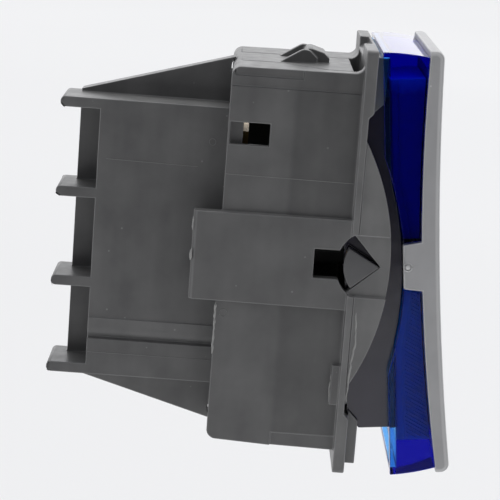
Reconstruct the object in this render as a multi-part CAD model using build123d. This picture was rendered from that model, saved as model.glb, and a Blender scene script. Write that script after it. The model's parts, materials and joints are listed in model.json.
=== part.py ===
from build123d import *
from math import asin, cos, degrees, radians, sin, sqrt, tan
import os

# One-module wall switch mechanism: a rocker on knife-edge pivots, a front housing that snaps into
# a support frame, and a terminal block that plugs into it from the rear.
# Frame: +Z up, the key faces -Y, the wires enter from +Y, the pivot axis runs along X.
# The origin is the centre of the flange's rear plane. All sizes are in millimetres.

# --- flange, which rests on the support frame ---
flange_half_width = 11.2
flange_half_height = 22.5
flange_thickness = 1.25
flange_step = 0.5            # how far the long sides stand behind the ends
flange_end_height = 7.0      # length of the upper thick end
flange_low_height = 6.5      # length of the lower thick end
flange_corner = 0.5
rim_height = 1.1             # raised wall in front of each end
rim_wall = 0.45
rim_end_gap = 0.8            # from the rim's end to the flange's end
rim_side_gap = 0.3           # to the lens around it
rim_length = 5.8
tool_notch_half_width = 4.0
tool_notch_depth = 1.2       # at the flange's rear
tool_notch_front_depth = 0.65
tool_notch_lip = 0.3

# --- casing behind the flange ---
casing_side_inset = 0.8      # from the flange's sides
casing_end_inset = 2.7       # from the flange's ends
casing_depth = 13.6
casing_top_draft = 0.15      # how much higher the top stands at the flange than at the rear
casing_low_draft = 0.33      # how much lower the bottom stands halfway than at the rear
casing_low_end_draft = 0.45  # the same at the flange
casing_wall = 0.9
casing_end_wall = 1.2
casing_rear_round = 1.0
junction_round = 0.9
post_size = 1.8
post_start = 4.2
snap_window_low = 11.8
snap_window_high = 14.1
snap_window_front = 9.25
snap_window_lip = 0.25
side_step = 0.12
upper_step_height = 1.95
corner_step_height = 0.85
corner_step_front = 6.2
lower_step_height = 1.1
lower_step_rear = 6.8
key_rib_low = -15.1
key_rib_high = -10.8
key_rib_depth = 0.9

# --- snap straps and pivot cheeks ---
strap_inset = 0.2            # from the flange's sides
strap_half_height = 4.7      # at the hooks
strap_draft = 0.1            # how much higher each edge stands at the flange
strap_edge = 0.3
hook_thickness = 2.9
hook_half_height = 3.4
hook_gap = 0.1
cheek_radius = 26.0
cheek_reach = 4.3
cheek_inset = 0.1            # from the flange's sides
bearing_recess = 0.45
bearing_half_height = 3.25
bearing_corner_y = -0.3
channel_half_height = 1.53
channel_end = 3.7
bearing_arc_y = -2.6         # centre of the arc behind the seat and the recess

# --- flexible latch in the casing's top ---
tongue_half_width = 4.05
tongue_slot = 0.35
tongue_root_land = 0.9       # from the slots' ends to the casing's rear
tongue_gap = 1.0
tongue_gap_undercut = 0.25   # how far the gap reaches into the flange
tongue_flare_start = 8.2
tongue_flare_end = 3.7
tongue_flare_width = 8.3
latch_front = 3.4
latch_body_rear = 6.4
latch_rib_rear = 8.7
latch_rib_front = 4.7
latch_rib_width = 0.8
latch_half_width = 3.2
latch_height = 1.75          # of the crest before it is rounded
latch_crest_y = 5.9
latch_front_top = 0.6        # length of the flat behind the front edge
latch_front_rise = 1.1       # from the crest down to the front edge
latch_root = 0.3             # how deep the nose is fused in the tongue
latch_rib_round = 1.0
latch_body_round = 0.8
latch_front_round = 0.4

# --- rocker ---
pivot_y = -3.15
half_travel = 5.8            # degrees to each side of the level position
tip_clearance = 0.06
trunnion_radius = 3.75
trunnion_half_angle = 34.5
trunnion_stop_gap = 0.6      # degrees left before the trunnion meets its lower seat
trunnion_set_back = 0.1      # from the strap's outer face
carrier_gap = 0.4            # from the cheeks to the carrier
carrier_end_gap = 0.85       # from the casing's end walls
mouth_gap = 0.5              # from the carrier's ends to the mouth it passes through
carrier_wall = 1.1
carrier_rear = 3.6           # behind the pivot
carrier_chamfer_y = 1.2
carrier_chamfer_z = 1.6
carrier_plate = 1.2          # thickness of the carrier's closed front
carrier_bulge_gap = 0.05     # from the bulge's crest to the lens
carrier_rib = 1.0
carrier_rib_gap = 1.2        # from the ribs to the carrier's rear
rocker_side_inset = 0.1      # from the flange's sides
rocker_end_inset = 0.05      # from the flange's ends
lens_side_wall = 1.1
lens_end_wall = 0.6
lens_recess = 0.75           # depth of the recess in the lens's rear
lens_rear = 0.75             # in front of the pivot, at the ends
lens_rear_centre = 2.6
lens_rear_straight = 11.5    # half-height where the curved rear edge ends
key_end_inset = 0.1          # from the flange's ends
key_joint_centre = 4.4
key_joint_end = 5.6
key_front_centre = 6.3
key_front_end = 7.1
key_corner = 0.9
key_edge = 0.35
lug_rear = 2.5
lug_half_height_rear = 2.35
lug_half_height_front = 2.75
lug_fit = 0.05               # from the lug's inner face to the lens's hollow
pip_radius = 0.35
pip_inset = 0.45
pip_height = 0.12

# --- plunger and its spring, inside the carrier ---
plunger_radius = 1.65
plunger_clearance = 0.05
plunger_gap = 0.15           # to the blade with the rocker level
boss_wall = 0.9
boss_rear = 3.4
boss_floor = 1.4
spring_wire = 0.36
spring_wire_sides = 6
spring_coil_radius = 1.15
spring_pitch = 0.75
spring_length = 2.6
spring_end_gap = 0.02
spring_pin_radius = 0.7
spring_pin_length = 0.9

# --- contact system ---
blade_tilt = 1.6 * half_travel
blade_thickness = 0.7
blade_half_width = 2.2
blade_overhang = 1.5         # beyond the contact's centre
blade_corner = 1.3
contact_arm = 6.5
contact_radius = 1.3
contact_dome = 4.0
contact_head = 0.7
contact_stem_radius = 0.6
contact_rivet = 0.3
rivet_radius = 1.0
rivet_play = 0.02
contact_clearance = 0.05
fixed_contact_thickness = 0.6
strip_thickness = 0.6
strip_margin = 0.4           # from a fixed contact to the strip's edge
strip_tail_gap = 0.3
ear_gap = 0.4
ear_thickness = 0.7
ear_half_height = 1.5
ear_reach = 1.2
pintle_radius = 0.55
pintle_root = 0.3            # how far the pintle is fused in the blade
pintle_clearance = 0.05

# --- terminal block ---
base_clearance = 0.3
base_thickness = 1.5
block_half_width = 6.0
block_half_height = 14.9
block_length = 15.1
wall_half_thickness = 1.05
wall_length = 2.4            # behind the block
fin_thickness = 1.1
fin_length = 4.2             # behind the block
fin_round = 0.5
gusset_gap = 0.1             # to the casing's rear edge
gusset_rise = 0.3            # above the block's ends, at the wall's rear
gusset_root = 0.5            # how deep the lower gusset is fused in the block
gusset_seat = 0.2            # how deep the gussets are fused in the base
low_gusset_offset = 1.75     # how far the lower gusset stands towards the wires' side
block_wall = 0.9
rear_wall = 1.6
terminal_pitch = 9.65
chamber_half_height = 3.8
chamber_clearance = 0.05
cable_ledge_top = -8.6
cable_ledge_height = 0.9
cable_ledge_depth = 0.15
cable_hollow_height = 1.3
cable_hollow_lip = 0.2
cable_hollow_depth = 0.5

# --- screw terminals ---
cage_length = 8.0
cage_rear_gap = 1.3
cage_wall = 0.6
cage_end_wall = 0.7
cage_nut_wall = 1.6
wire_space = 2.5
plate_thickness = 0.7
plate_clearance = 0.05
plate_side_gap = 0.2
plate_end_gap = 0.6
plate_edge = 0.25
wire_hole_radius = 1.2
wire_hole_spacing = 3.1
wire_funnel_radius = 1.5
wire_funnel_depth = 0.5
screw_radius = 1.45
screw_clearance = 0.05
screw_head_radius = 2.5
screw_head_height = 1.5
screw_lift = 1.95            # free length under the head with the terminal open
screw_slot_width = 0.8
screw_slot_depth = 0.8
screw_cross_length = 3.0
screw_edge = 0.3
well_clearance = 0.4
shank_hole_radius = 1.8
well_floor = 1.1

# --- places worked out from the sizes above ---
casing_half_width = flange_half_width - casing_side_inset
casing_half_height = flange_half_height - casing_end_inset
casing_inner_width = casing_half_width - casing_wall
casing_inner_height = casing_half_height - casing_end_wall
strap_half_width = flange_half_width - strap_inset
strap_reach = casing_depth + hook_thickness
cheek_half_width = flange_half_width - cheek_inset
tongue_root = casing_depth - tongue_root_land
base_rear = casing_depth - hook_gap
base_front = base_rear - base_thickness
base_half_width = casing_inner_width - base_clearance
base_half_height = casing_inner_height - base_clearance
carrier_half_width = casing_inner_width - carrier_gap
carrier_half_height = casing_inner_height - carrier_end_gap
mouth_half_height = carrier_half_height + mouth_gap
trunnion_half_width = strap_half_width - trunnion_set_back
lens_half_width = flange_half_width - rocker_side_inset
lens_radius = flange_half_height - rocker_end_inset
key_half_height = flange_half_height - key_end_inset
lens_hollow_width = lens_half_width - lens_side_wall
lens_hollow_radius = lens_radius - lens_end_wall
lens_hollow_front = lens_rear + lens_recess
rim_half_width = lens_hollow_width - rim_side_gap
rim_half_height = flange_half_height - rim_end_gap
strip_front = base_front - strip_thickness
fixed_contact_face = strip_front - fixed_contact_thickness
contact_stack = blade_thickness / 2 + contact_head
blade_axis_y = (fixed_contact_face - contact_clearance - contact_dome
                - contact_arm * sin(radians(blade_tilt))
                - (contact_stack - contact_dome) * cos(radians(blade_tilt)))
plunger_reach = blade_axis_y - blade_thickness / 2 - plunger_gap - pivot_y
block_rear = base_front + block_length
wall_rear = block_rear + wall_length
fin_rear = block_rear + fin_length
fin_centres = [block_half_height - fin_thickness / 2, terminal_pitch / 2,
               -terminal_pitch / 2, -block_half_height + fin_thickness / 2]
terminals = {"upper": terminal_pitch, "middle": 0.0, "lower": -terminal_pitch}
cage_near = -block_half_width + block_wall + chamber_clearance
strip_near = cage_near + cage_wall
tail_half_height = chamber_half_height - cage_end_wall - 2 * plate_side_gap
wire_space_near = strip_near + strip_thickness
plate_near = wire_space_near + wire_space
plate_far = plate_near + plate_thickness
nut_near = plate_far + plate_clearance
cage_far = nut_near + cage_nut_wall
well_bottom = cage_far + chamber_clearance + well_floor
head_under = well_bottom + screw_lift
chamber_rear = block_rear - rear_wall
cage_rear = chamber_rear - cage_rear_gap
cage_front = cage_rear - cage_length
screw_y = (cage_front + cage_rear) / 2
wire_hole_x = (wire_space_near + plate_near) / 2


def box_between(x0, x1, y0, y1, z0, z1):
    """A box from one corner to the other."""
    return Pos((x0 + x1) / 2, (y0 + y1) / 2, (z0 + z1) / 2) * Box(x1 - x0, y1 - y0, z1 - z0)


def rod_x(radius, x0, x1, y, z):
    """A round rod along X."""
    return Pos((x0 + x1) / 2, y, z) * Rot(0, 90, 0) * Cylinder(radius, x1 - x0)


def rod_y(radius, y0, y1, x, z):
    """A round rod along Y."""
    return Pos(x, (y0 + y1) / 2, z) * Rot(90, 0, 0) * Cylinder(radius, y1 - y0)


def side_profile(points, x0, x1):
    """A straight-sided outline of (y, z) points, extruded along X."""
    face = make_face(Polyline(*points, close=True))
    return extrude(Plane.YZ.offset(x0) * face, x1 - x0)


def top_profile(points, z0, z1):
    """A straight-sided outline of (x, y) points, extruded along Z."""
    face = make_face(Polyline(*points, close=True))
    return extrude(Plane.XY.offset(z0) * face, z1 - z0)


def along_y(face, y0, y1):
    """A face drawn in (x, z), extruded along Y."""
    return extrude(Plane.XZ.offset(-y1) * face, y1 - y0)


def both_sides(shape):
    """A shape and its mirror image across the module's middle plane."""
    return shape + mirror(shape, Plane.YZ)


def top_and_bottom(shape):
    """A shape and its mirror image across the horizontal plane."""
    return shape + mirror(shape, Plane.XY)


def round_across(shape, corner, radius):
    """Rounds the edges along X that pass through a (y, z) corner."""
    edges = shape.edges().filter_by(Axis.X)
    edges = edges.filter_by_position(Axis.Y, corner[0] - 0.01, corner[0] + 0.01)
    edges = edges.filter_by_position(Axis.Z, corner[1] - 0.01, corner[1] + 0.01)
    return fillet(edges, radius)


def tip_rocker(shape):
    """Turns a rocker piece from level to its rest, with the key's upper end pressed in."""
    return shape.rotate(Axis((0, pivot_y, 0), (1, 0, 0)), -half_travel)


def tip_blade(shape):
    """Turns a blade piece from level to its rest, with the lower contact closed."""
    return shape.rotate(Axis((0, blade_axis_y, 0), (1, 0, 0)), blade_tilt)


# ---------------------------------------------------------------- front housing

def flange():
    plate = box_between(-flange_half_width, flange_half_width, -flange_thickness, 0,
                        -flange_half_height, flange_half_height)
    plate = fillet(plate.edges().filter_by(Axis.Y), flange_corner)
    high = flange_half_height - flange_end_height
    low = -flange_half_height + flange_low_height
    front = -flange_thickness - 1
    step_front = -flange_thickness + flange_step
    step = side_profile([(front, high + flange_step + 1), (step_front, high),
                         (step_front, low), (front, low - flange_step - 1)],
                        -flange_half_width - 1, flange_half_width + 1)
    return plate - step


def rim():
    """The wall round each end of the flange, which stands inside the lens."""
    front = -flange_thickness - rim_height
    start = rim_half_height - rim_length
    wall = side_profile([(-flange_thickness, start), (front, start + rim_height), (front, rim_half_height),
                         (-flange_thickness, rim_half_height)], -rim_half_width, rim_half_width)
    pocket = box_between(-rim_half_width + rim_wall, rim_half_width - rim_wall, front - 1, -flange_thickness,
                         0, mouth_half_height)
    return top_and_bottom(wall - pocket)


def tool_notch():
    """The notch in the flange's top edge that a blade reaches the latch through."""
    front = -flange_thickness + tool_notch_lip
    top = flange_half_height + 1
    front_floor = flange_half_height - tool_notch_front_depth
    rear_floor = flange_half_height - tool_notch_depth
    return side_profile([(front, top), (front, front_floor), (0, rear_floor), (1, rear_floor), (1, top)],
                        -tool_notch_half_width, tool_notch_half_width)


def casing_shell():
    """The casing's outer form: its ends slope outwards towards the flange."""
    high = casing_half_height
    shell = side_profile([(0, high + casing_top_draft), (casing_depth, high), (casing_depth, -high),
                          (lower_step_rear, -high - casing_low_draft), (0, -high - casing_low_end_draft)],
                         -casing_half_width, casing_half_width)
    rear_corners = shell.edges().filter_by(Axis.X).group_by(Axis.Y)[-1]
    shell = fillet(rear_corners, casing_rear_round)
    return shell


def casing_hollow():
    """The space inside the casing, narrower at the flange, where the rocker's carrier passes."""
    room = box_between(-casing_inner_width, casing_inner_width, 0, casing_depth + 1,
                       -casing_inner_height, casing_inner_height)
    mouth = box_between(-carrier_half_width - carrier_gap / 2, carrier_half_width + carrier_gap / 2,
                        -flange_thickness - 1, 1, -mouth_half_height, mouth_half_height)
    return room + mouth


def base_posts():
    """Four corner posts that the terminal block's base stops against."""
    post = box_between(casing_inner_width - post_size, casing_inner_width + casing_wall / 2, post_start,
                       base_front - hook_gap / 2, casing_inner_height - post_size,
                       casing_inner_height + casing_end_wall / 2)
    return both_sides(top_and_bottom(post))


def side_steps():
    """Shallow steps on the casing's sides, left by the mould's inserts."""
    outer = casing_half_width + 1
    deep = casing_half_width - 2 * side_step
    shallow = casing_half_width - side_step
    top = casing_half_height
    upper = box_between(shallow, outer, 0, casing_depth + 1, top - upper_step_height, top + 1)
    corner = box_between(deep, outer, corner_step_front, casing_depth - casing_wall / 2,
                         top - corner_step_height, top + 1)
    lower = box_between(deep, outer, 0, lower_step_rear, -top - 1, -top + lower_step_height)
    return both_sides(upper + corner + lower)


def snap_windows():
    window = box_between(casing_inner_width - 1, casing_half_width + 1, snap_window_front,
                         casing_depth - snap_window_lip, snap_window_low, snap_window_high)
    return both_sides(window)


def straps():
    """The two flexible side straps, each with a hook behind the terminal block's base."""
    front_height = strap_half_height + strap_draft
    strap = side_profile([(-flange_step, front_height), (strap_reach, strap_half_height),
                          (strap_reach, -strap_half_height), (-flange_step, -front_height)],
                         casing_inner_width, strap_half_width)
    outer_edges = strap.edges().filter_by(Axis.Z).group_by(Axis.X)[-1].group_by(Axis.Y)[-1]
    strap = chamfer(outer_edges, strap_edge)
    hook = box_between(block_half_width + hook_gap, (casing_inner_width + strap_half_width) / 2, casing_depth,
                       strap_reach, -hook_half_height, hook_half_height)
    return both_sides(strap + hook)


def cheeks():
    """The two D-shaped cheeks beside the rocker, which hold its knife edges."""
    start = -flange_step
    centre = -cheek_reach + cheek_radius
    half_chord = sqrt(cheek_radius ** 2 - (centre - start) ** 2)
    arc = ThreePointArc((start, half_chord), (-cheek_reach, 0), (start, -half_chord))
    face = make_face(arc + Line((start, -half_chord), (start, half_chord)))
    cheek = extrude(Plane.YZ.offset(casing_inner_width) * face, cheek_half_width - casing_inner_width)
    return both_sides(cheek)


def bearing_cuts():
    """The V seat of each knife edge, the channel behind it and the shallow recess round both."""
    near = carrier_half_width
    outer = cheek_half_width + 1
    floor = cheek_half_width - bearing_recess
    high = bearing_half_height
    low_angle = radians(trunnion_half_angle + half_travel + trunnion_stop_gap)
    seat_tip = pivot_y - tip_clearance / sin(low_angle)
    seat_rear = bearing_arc_y + 2 * high
    arc_radius = sqrt((bearing_corner_y - bearing_arc_y) ** 2 + high ** 2)
    disc = rod_x(arc_radius, near, outer, bearing_arc_y, 0)
    seat = side_profile([(seat_tip, 0), (bearing_corner_y, high), (seat_rear, high),
                         (seat_rear, (seat_tip - seat_rear) * tan(low_angle))], near, outer)
    channel = box_between(near, outer, bearing_arc_y, channel_end, -channel_half_height, channel_half_height)
    front = box_between(floor, outer, -cheek_reach - 1, bearing_corner_y, -high, high)
    rear = disc & box_between(floor, outer, bearing_corner_y, seat_rear, -high, high)
    channel = channel - box_between(near - 1, outer + 1, bearing_arc_y - 1, bearing_corner_y, -high, high)
    return both_sides((seat & disc) + channel + front + rear)


def latch_cuts():
    """The slots that free the latch tongue in the casing's top."""
    low = casing_inner_height - 0.1
    high = casing_half_height + casing_top_draft + junction_round + 0.1
    far = tongue_half_width
    near = -tongue_half_width
    wide = -tongue_flare_width
    half = tongue_slot / 2
    front = box_between(wide - half, far + half, -tongue_gap_undercut, tongue_gap, low, high)
    far_slot = box_between(far - half, far + half, tongue_gap / 2, tongue_root, low, high)
    near_slot = top_profile([(near - half, tongue_root), (near - half, tongue_flare_start),
                             (wide - half, tongue_flare_end), (wide - half, tongue_gap / 2),
                             (wide + half, tongue_gap / 2), (wide + half, tongue_flare_end),
                             (near + half, tongue_flare_start), (near + half, tongue_root)], low, high)
    return front + far_slot + near_slot


def latch_nose():
    """The catch on the tongue: two ramps with a pocket between, and a steep front face."""
    base = casing_half_height - latch_root
    crest = casing_half_height + latch_height
    top = (latch_crest_y, crest)
    rib_edge = [(latch_rib_rear, base), (latch_rib_rear, casing_half_height), top,
                (latch_rib_front, crest - latch_front_rise), (latch_rib_front, base)]
    rib = side_profile(rib_edge, latch_half_width - latch_rib_width, latch_half_width)
    rib = round_across(rib, top, latch_rib_round)
    body_edge = [(latch_body_rear, base), (latch_body_rear, casing_half_height + latch_root), top,
                 (latch_front + latch_front_top, crest - latch_front_rise / 2),
                 (latch_front, crest - latch_front_rise), (latch_front, base)]
    body = side_profile(body_edge, -latch_half_width + latch_rib_width, latch_half_width - latch_rib_width)
    body = round_across(body, top, latch_body_round)
    body = round_across(body, (latch_front, crest - latch_front_rise), latch_front_round)
    return both_sides(rib) + body


def key_rib():
    """A short rib beside the flange, on one side only, that keys the module in its frame."""
    return box_between(-casing_half_width - 0.45, -casing_half_width + 0.1, 0, key_rib_depth,
                       key_rib_low, key_rib_high)


def front_housing():
    body = flange() + casing_shell()
    junction = body.edges().filter_by(Axis.X).filter_by_position(Axis.Y, -0.01, 0.01)
    junction_height = casing_half_height + casing_top_draft
    top_junction = junction.filter_by_position(Axis.Z, junction_height - 0.01, junction_height + 0.01)
    body = fillet(top_junction, junction_round)
    body = body - side_steps() + straps() + cheeks() + rim() + key_rib()
    body = body - casing_hollow() - snap_windows() - bearing_cuts() - tool_notch() - latch_cuts()
    return body + base_posts() + latch_nose()


# ---------------------------------------------------------------- rocker

def joint_arc_radius(end, centre, half_height):
    """Radius of the arc through a centre point and two ends at the given half-height."""
    rise = end - centre
    return (half_height ** 2 + rise ** 2) / (2 * rise)


def joint_depth(half_height):
    """How far in front of the pivot the joint between lens and key lies at a height."""
    radius = joint_arc_radius(key_joint_end, key_joint_centre, key_half_height)
    return key_joint_centre + radius - sqrt(radius ** 2 - half_height ** 2)


def lens_corner():
    """Where the lens's round end meets the key: depth in front of the pivot, and height."""
    depth = key_joint_end
    for _ in range(20):
        height = sqrt(lens_radius ** 2 - depth ** 2)
        depth = joint_depth(height)
    return depth, height


def lens_outline():
    """The lens seen from the side, as a face in the plane across X."""
    depth, height = lens_corner()
    rear_height = sqrt(lens_radius ** 2 - lens_rear ** 2)
    middle = radians((degrees(asin(depth / lens_radius)) + degrees(asin(lens_rear / lens_radius))) / 2)
    bulge = (pivot_y - lens_radius * sin(middle), lens_radius * cos(middle))
    rear_y = pivot_y - lens_rear
    centre_y = pivot_y - lens_rear_centre
    front_y = pivot_y - depth
    edges = [
        ThreePointArc((rear_y, rear_height), bulge, (front_y, height)),
        ThreePointArc((front_y, height), (pivot_y - key_joint_centre, 0), (front_y, -height)),
        ThreePointArc((front_y, -height), (bulge[0], -bulge[1]), (rear_y, -rear_height)),
        Line((rear_y, -rear_height), (rear_y, -lens_rear_straight)),
        ThreePointArc((rear_y, -lens_rear_straight), (centre_y, 0), (rear_y, lens_rear_straight)),
        Line((rear_y, lens_rear_straight), (rear_y, rear_height)),
    ]
    return make_face(Wire(edges))


def lug_outline():
    """The key's side lug seen from the side, as (y, z) points, widening towards the key."""
    rear = pivot_y - lug_rear
    front = pivot_y - (key_joint_centre + key_front_centre) / 2
    return [(rear, lug_half_height_rear), (front, lug_half_height_front),
            (front, -lug_half_height_front), (rear, -lug_half_height_rear)]


def light_lens():
    lens = extrude(Plane.YZ.offset(-lens_half_width) * lens_outline(), 2 * lens_half_width)
    room = rod_x(lens_hollow_radius, -lens_hollow_width, lens_hollow_width, pivot_y, 0)
    room = room & box_between(-lens_hollow_width, lens_hollow_width, pivot_y - lens_hollow_front, pivot_y + 1,
                              -lens_hollow_radius, lens_hollow_radius)
    notch_points = lug_outline()
    notch_points[0] = (pivot_y, lug_half_height_rear)
    notch_points[3] = (pivot_y, -lug_half_height_rear)
    notch = side_profile(notch_points, lens_hollow_width - 0.1, lens_half_width + 1)
    return tip_rocker(lens - room - both_sides(notch))


def key_outline():
    """The key seen from the side: hollowed front, and a rear that fits the lens."""
    rear_y = pivot_y - key_joint_end
    front_y = pivot_y - key_front_end
    crest_y = pivot_y - key_front_centre
    edges = [
        ThreePointArc((rear_y, key_half_height), (pivot_y - key_joint_centre, 0), (rear_y, -key_half_height)),
        Line((rear_y, -key_half_height), (front_y, -key_half_height)),
        ThreePointArc((front_y, -key_half_height), (crest_y, 0), (front_y, key_half_height)),
        Line((front_y, key_half_height), (rear_y, key_half_height)),
    ]
    return make_face(Wire(edges))


def key_cover():
    key = extrude(Plane.YZ.offset(-lens_half_width) * key_outline(), 2 * lens_half_width)
    front_ends = key.edges().filter_by(Axis.X).group_by(Axis.Y)[0]
    key = fillet(front_ends, key_corner)
    sides = key.faces().sort_by(Axis.Y)[0].edges()
    key = chamfer(sides.filter_by(Axis.X, reverse=True), key_edge)
    lug = side_profile(lug_outline(), lens_hollow_width + lug_fit, lens_half_width)
    pip_y = pivot_y - lug_rear - pip_inset
    pip = rod_x(pip_radius, lens_hollow_width + lug_fit, lens_half_width + pip_height, pip_y, 0)
    return tip_rocker(key + both_sides(lug + pip))


def carrier_bulge():
    """The swelling on the carrier's front that fills the lens's curved rear."""
    chord = pivot_y - lens_rear
    crest = pivot_y - lens_rear_centre + carrier_bulge_gap
    arc = ThreePointArc((chord, lens_rear_straight), (crest, 0), (chord, -lens_rear_straight))
    face = make_face(arc + Line((chord, -lens_rear_straight), (chord, lens_rear_straight)))
    return extrude(Plane.YZ.offset(-carrier_half_width) * face, 2 * carrier_half_width)


def carrier_box():
    """The rocker's carrier: a box open to the rear, with its rear corners cut off."""
    rear = pivot_y + carrier_rear
    front = pivot_y - lens_hollow_front
    high = carrier_half_height
    chamfer_high = high - carrier_chamfer_z
    chamfer_front = rear - carrier_chamfer_y
    outer = side_profile([(front, high), (chamfer_front, high), (rear, chamfer_high),
                          (rear, -chamfer_high), (chamfer_front, -high), (front, -high)],
                         -carrier_half_width, carrier_half_width)
    inner_width = carrier_half_width - carrier_wall
    inner_height = high - carrier_wall
    hollow = box_between(-inner_width, inner_width, front + carrier_plate, rear + 1,
                         -inner_height, inner_height)
    return outer + carrier_bulge() - hollow


def trunnions():
    """The knife-edge sectors: each has its tip on the pivot axis and its arc to the rear."""
    angle = radians(trunnion_half_angle)
    start = (pivot_y + trunnion_radius * cos(angle), trunnion_radius * sin(angle))
    end = (start[0], -start[1])
    edges = [Line((pivot_y, 0), start), ThreePointArc(start, (pivot_y + trunnion_radius, 0), end),
             Line(end, (pivot_y, 0))]
    face = make_face(Wire(edges))
    length = trunnion_half_width - carrier_half_width + carrier_wall / 2
    sector = extrude(Plane.YZ.offset(carrier_half_width - carrier_wall / 2) * face, length)
    return both_sides(sector)


def rocker_carrier():
    front = pivot_y - lens_hollow_front
    boss_radius = plunger_radius + plunger_clearance + boss_wall
    boss = rod_y(boss_radius, front, pivot_y + boss_rear, 0, 0)
    half_rib = carrier_rib / 2
    rib_rear = pivot_y + carrier_rear - carrier_rib_gap
    rib_width = carrier_half_width - carrier_wall / 2
    rib_height = carrier_half_height - carrier_wall / 2
    ribs = box_between(-rib_width, rib_width, front, rib_rear, -half_rib, half_rib)
    ribs = ribs + box_between(-half_rib, half_rib, front, rib_rear, -rib_height, rib_height)
    bore = rod_y(plunger_radius + plunger_clearance, pivot_y - boss_floor, pivot_y + boss_rear + 1, 0, 0)
    return tip_rocker(carrier_box() + boss + ribs + trunnions() - bore)


def plunger():
    back = pivot_y - boss_floor + spring_length
    tip = pivot_y + plunger_reach
    centre = tip - plunger_radius
    body = rod_y(plunger_radius, back, centre, 0, 0) + Pos(0, centre, 0) * Sphere(plunger_radius)
    pin = rod_y(spring_pin_radius, back - spring_pin_length, centre, 0, 0)
    return tip_rocker(body + pin)


def plunger_spring():
    wire_radius = spring_wire / 2
    start = pivot_y - boss_floor + wire_radius + spring_end_gap
    height = spring_length - spring_wire - 2 * spring_end_gap
    path = Helix(pitch=spring_pitch, height=height, radius=spring_coil_radius)
    section = Plane(origin=path @ 0, z_dir=path % 0) * RegularPolygon(wire_radius, spring_wire_sides)
    coil = sweep(section, path=path)
    return tip_rocker(Pos(0, start, 0) * Rot(-90, 0, 0) * coil)


# ---------------------------------------------------------------- contact system

def contact_blade():
    """The see-saw blade: a strip with a rivet hole near each end and a pintle on each side."""
    half_length = contact_arm + blade_overhang
    blade = box_between(-blade_half_width, blade_half_width, blade_axis_y - blade_thickness / 2,
                        blade_axis_y + blade_thickness / 2, -half_length, half_length)
    blade = fillet(blade.edges().filter_by(Axis.Y), blade_corner)
    for side in (-1, 1):
        blade = blade - rod_y(contact_stem_radius + rivet_play, blade_axis_y - 1, blade_axis_y + 1,
                              0, side * contact_arm)
    pintle_start = blade_half_width - pintle_root
    pintle_end = blade_half_width + ear_gap + ear_thickness
    pintle = rod_x(pintle_radius, pintle_start, pintle_end, blade_axis_y, 0)
    return tip_blade(blade + both_sides(pintle))


def moving_contact(side):
    """A domed silver rivet through one end of the blade; side is 1 for the upper one."""
    height = side * contact_arm
    back = blade_axis_y + blade_thickness / 2
    face = back + contact_head
    front = back - blade_thickness
    dome = Pos(0, face - contact_dome, height) * Sphere(contact_dome)
    head = rod_y(contact_radius, back, face, 0, height) & dome
    stem = rod_y(contact_stem_radius, front - contact_rivet / 2, back + contact_head / 2, 0, height)
    rivet = rod_y(rivet_radius, front - contact_rivet, front, 0, height)
    return tip_blade(head + stem + rivet)


def fixed_contact_height():
    """Height of the fixed contacts, where the tilted blade's domes meet them."""
    tilt = radians(blade_tilt)
    return contact_arm * cos(tilt) - (contact_stack - contact_dome) * sin(tilt)


def fixed_contact(side):
    height = side * fixed_contact_height()
    return rod_y(contact_radius, fixed_contact_face, strip_front, 0, height)


def strip_tail(height):
    """The leg of a contact strip that runs back into its terminal cage."""
    return box_between(strip_near, strip_near + strip_thickness, strip_front, cage_rear - strip_tail_gap,
                       height - tail_half_height, height + tail_half_height)


def traveller_strip(side):
    contact_edge = fixed_contact_height() - contact_radius - strip_margin
    outer_edge = terminal_pitch + tail_half_height
    low, high = sorted((side * contact_edge, side * outer_edge))
    head = box_between(strip_near, contact_radius + 2 * strip_margin, strip_front, base_front, low, high)
    return head + strip_tail(side * terminal_pitch)


def common_strip():
    """The middle strip, with two ears whose open notches carry the blade's pintles."""
    ear_inner = blade_half_width + ear_gap
    ear_outer = ear_inner + ear_thickness
    head = box_between(strip_near, ear_outer, strip_front, base_front, -tail_half_height, tail_half_height)
    ear = box_between(ear_inner, ear_outer, blade_axis_y - ear_reach, base_front,
                      -ear_half_height, ear_half_height)
    notch_radius = pintle_radius + pintle_clearance
    notch = rod_x(notch_radius, ear_inner - 1, ear_outer + 1, blade_axis_y, 0)
    notch = notch + box_between(ear_inner - 1, ear_outer + 1, blade_axis_y - ear_reach - 1, blade_axis_y,
                                -notch_radius, notch_radius)
    return head + both_sides(ear - notch) + strip_tail(0)


# ---------------------------------------------------------------- terminal block

def block_fins():
    """Four fins behind the block that part the wires of neighbouring terminals."""
    fins = None
    for centre in fin_centres:
        fin = box_between(-block_half_width, wall_half_thickness, chamber_rear, fin_rear,
                          centre - fin_thickness / 2, centre + fin_thickness / 2)
        fin = fillet(fin.edges().filter_by(Axis.X).group_by(Axis.Y)[-1], fin_round)
        fins = fin if fins is None else fins + fin
    return fins


def casing_edge_room():
    """The room that the gussets leave round the casing's rear edge."""
    rear = casing_depth + gusset_gap
    high = casing_half_height + gusset_gap
    room = box_between(-block_half_width, block_half_width, 0, rear, -high, high)
    room = fillet(room.edges().filter_by(Axis.X).group_by(Axis.Y)[-1], casing_rear_round + gusset_gap)
    return room - box_between(-block_half_width - 1, block_half_width + 1, -1, rear + 1,
                              -base_half_height, base_half_height)


def gusset_wall():
    """The middle wall: it backs the wire bays and slopes out to the casing as two gussets."""
    front = base_rear - gusset_seat
    root = casing_half_height
    tail = block_half_height + gusset_rise
    middle = fin_centres[-1]
    wall = side_profile([(front, root), (wall_rear, tail), (wall_rear, middle), (front, middle)],
                        -wall_half_thickness, wall_half_thickness)
    inner = -block_half_height + gusset_root
    lower = side_profile([(front, -root), (wall_rear, -tail), (wall_rear, inner), (front, inner)],
                         -wall_half_thickness - low_gusset_offset, wall_half_thickness - low_gusset_offset)
    return wall + lower - casing_edge_room()


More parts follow.
